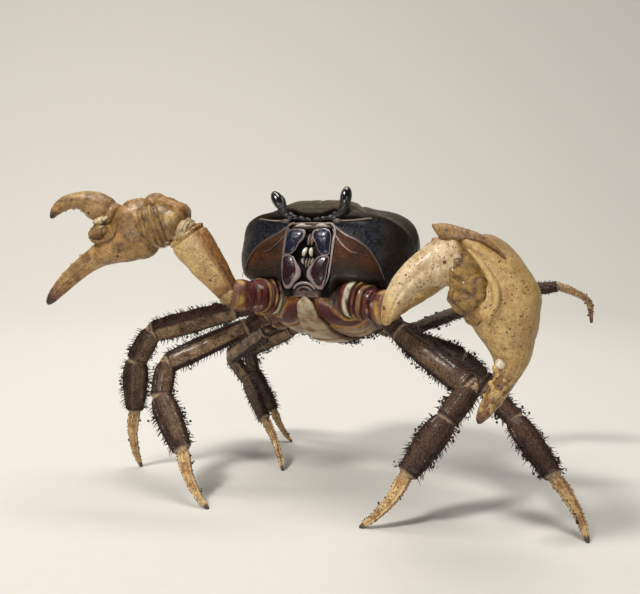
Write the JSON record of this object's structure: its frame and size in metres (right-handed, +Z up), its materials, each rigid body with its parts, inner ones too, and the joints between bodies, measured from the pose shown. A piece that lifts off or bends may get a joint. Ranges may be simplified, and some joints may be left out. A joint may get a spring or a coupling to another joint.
{
  "type": "land crab",
  "caption": "Life-size land crab standing tall on bent, pointed walking legs, one hind leg lifted, both pincers raised and open, one claw much larger.",
  "frame": {"origin": "centre of the footprint of the whole animal's box, on the floor its toes stand on", "axes": "+Z up, -Y the way the crab faces, +X towards the crab's own left side, the side of its larger claw"},
  "size_m": [0.2616, 0.1798, 0.1543],
  "materials": {
    "shell": "semi-gloss, finely granular",
    "belly": "satin",
    "mouth": "semi-gloss",
    "eye": "gloss",
    "stalk": "satin",
    "claw": "satin, finely granular",
    "claw_base": "satin",
    "leg": "matt",
    "dactyl": "satin"
  },
  "bodies": {
    "root": {"carapace": "shell", "sternum": "belly", "abdomen": "belly", "maxilliped_left": "mouth", "eyestalk_left": "stalk", "eye_left": "eye", "antenna_left": "stalk", "cheliped_left_base": "claw_base", "cheliped_left_merus": "claw", "cheliped_left_carpus": "claw", "cheliped_left_palm": "claw", "cheliped_left_dactyl": "claw", "leg_left_2_merus": "leg", "leg_left_2_carpus": "leg", "leg_left_2_propodus": "leg", "leg_left_2_dactyl": "dactyl", "leg_left_3_merus": "leg", "leg_left_3_carpus": "leg", "leg_left_3_propodus": "leg", "leg_left_3_dactyl": "dactyl", "leg_left_4_merus": "leg", "leg_left_4_carpus": "leg", "leg_left_4_propodus": "leg", "leg_left_4_dactyl": "dactyl", "leg_left_5_merus": "leg", "leg_left_5_carpus": "leg", "leg_left_5_propodus": "leg", "leg_left_5_dactyl": "dactyl", "maxilliped_right": "mouth", "eyestalk_right": "stalk", "eye_right": "eye", "antenna_right": "stalk", "cheliped_right_base": "claw_base", "cheliped_right_merus": "claw", "cheliped_right_carpus": "claw", "cheliped_right_palm": "claw", "cheliped_right_dactyl": "claw", "leg_right_2_merus": "leg", "leg_right_2_carpus": "leg", "leg_right_2_propodus": "leg", "leg_right_2_dactyl": "dactyl", "leg_right_3_merus": "leg", "leg_right_3_carpus": "leg", "leg_right_3_propodus": "leg", "leg_right_3_dactyl": "dactyl", "leg_right_4_merus": "leg", "leg_right_4_carpus": "leg", "leg_right_4_propodus": "leg", "leg_right_4_dactyl": "dactyl", "leg_right_5_merus": "leg", "leg_right_5_carpus": "leg", "leg_right_5_propodus": "leg", "leg_right_5_dactyl": "dactyl"}
  },
  "joints": []
}
